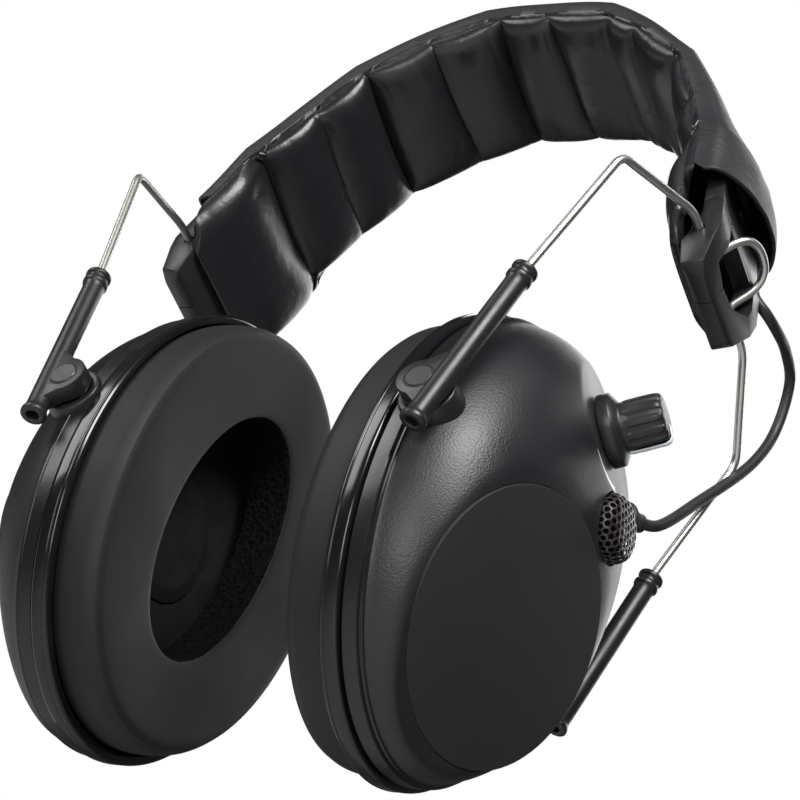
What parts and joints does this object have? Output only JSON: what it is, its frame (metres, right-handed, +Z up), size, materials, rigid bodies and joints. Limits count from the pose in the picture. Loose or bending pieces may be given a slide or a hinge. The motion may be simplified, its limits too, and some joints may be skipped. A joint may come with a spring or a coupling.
{
  "type": "earmuff hearing protector",
  "caption": "Over-head electronic earmuff: padded sprung headband, wire yokes with sliding sleeves, tilting oval cups, soft cushions, volume knob and microphone.",
  "frame": {"origin": "inside of the headband at the crown, where it rests on the head, midway between the cups", "axes": "+Z up along the line from between the cups to the crown, +X towards the wearer's right cup, +Y towards the wearer's front"},
  "size_m": [0.1534, 0.1014, 0.227],
  "materials": {
    "leatherette": "satin",
    "foam": "matte",
    "spring_steel": "satin",
    "steel_wire": "polished",
    "black_plastic": "satin",
    "grained_shell": "fine grain",
    "gloss_rim": "gloss",
    "cushion_foil": "soft matte",
    "grey_plastic": "matte",
    "mesh": "satin black",
    "cable_rubber": "satin",
    "electronics": "matte green",
    "white_mark": "matte",
    "cell_wrap": "satin"
  },
  "bodies": {
    "headband": {"headband_cover": "leatherette", "headband_foam": "foam", "headband_spring": "spring_steel", "band_cable": "cable_rubber", "right_bracket": "black_plastic", "right_rivet": "spring_steel", "left_bracket": "black_plastic", "left_rivet": "spring_steel", "link_cable": "cable_rubber"},
    "right_yoke": {"right_yoke_wire": "steel_wire"},
    "left_yoke": {"left_yoke_wire": "steel_wire"},
    "right_slides": {"right_sleeve_front": "black_plastic", "right_sleeve_rear": "black_plastic", "right_pivot_pin_front": "black_plastic", "right_pivot_pin_rear": "black_plastic"},
    "left_slides": {"left_sleeve_front": "black_plastic", "left_sleeve_rear": "black_plastic", "left_pivot_pin_front": "black_plastic", "left_pivot_pin_rear": "black_plastic"},
    "right_cup": {"right_cup_shell": "grained_shell", "right_cup_rim": "gloss_rim", "right_ear_cushion": "cushion_foil", "right_foam_liner": "foam", "right_baffle": "grey_plastic", "right_speaker": "grey_plastic", "right_cable_gland": "black_plastic", "mic_grille": "mesh", "mic_capsule": "spring_steel", "circuit_board": "electronics", "volume_control": "grey_plastic", "battery_tray": "black_plastic", "battery_upper": "cell_wrap", "battery_lower": "cell_wrap"},
    "left_cup": {"left_cup_shell": "grained_shell", "left_cup_rim": "gloss_rim", "left_ear_cushion": "cushion_foil", "left_foam_liner": "foam", "left_baffle": "grey_plastic", "left_speaker": "grey_plastic", "left_cable_gland": "black_plastic", "left_panel": "black_plastic"},
    "volume_dial": {"volume_knob": "black_plastic", "knob_pointer": "white_mark"},
    "battery_lid": {"battery_cover": "black_plastic"}
  },
  "joints": [
    {"name": "right_yoke_swing", "type": "hinge", "parent": "headband", "child": "right_yoke", "pos_m": [0.0674, 0, -0.0774], "axis": [0, -1, 0], "range_deg": [-5, 25], "deforming": ["link_cable"]},
    {"name": "left_yoke_swing", "type": "hinge", "parent": "headband", "child": "left_yoke", "pos_m": [-0.0674, 0, -0.0774], "axis": [0, 1, 0], "range_deg": [-5, 25]},
    {"name": "right_height", "type": "slide", "parent": "right_yoke", "child": "right_slides", "axis": [0.1635, 0, 0.9865], "range_m": [0, 0.02]},
    {"name": "left_height", "type": "slide", "parent": "left_yoke", "child": "left_slides", "axis": [-0.1635, 0, 0.9865], "range_m": [0, 0.02]},
    {"name": "right_cup_tilt", "type": "hinge", "parent": "right_slides", "child": "right_cup", "pos_m": [0.0436, 0, -0.1586], "axis": [0, -1, 0], "range_deg": [-8, 8]},
    {"name": "left_cup_tilt", "type": "hinge", "parent": "left_slides", "child": "left_cup", "pos_m": [-0.0436, 0, -0.1586], "axis": [0, 1, 0], "range_deg": [-8, 8]},
    {"name": "volume_turn", "type": "hinge", "parent": "right_cup", "child": "volume_dial", "pos_m": [0.0575, -0.0012, -0.1268], "axis": [0.9272, 0, 0.3746], "range_deg": [-135, 135]},
    {"name": "battery_cover_lift", "type": "slide", "parent": "right_cup", "child": "battery_lid", "axis": [0.9573, 0, -0.289], "range_m": [0, 0.03]}
  ]
}
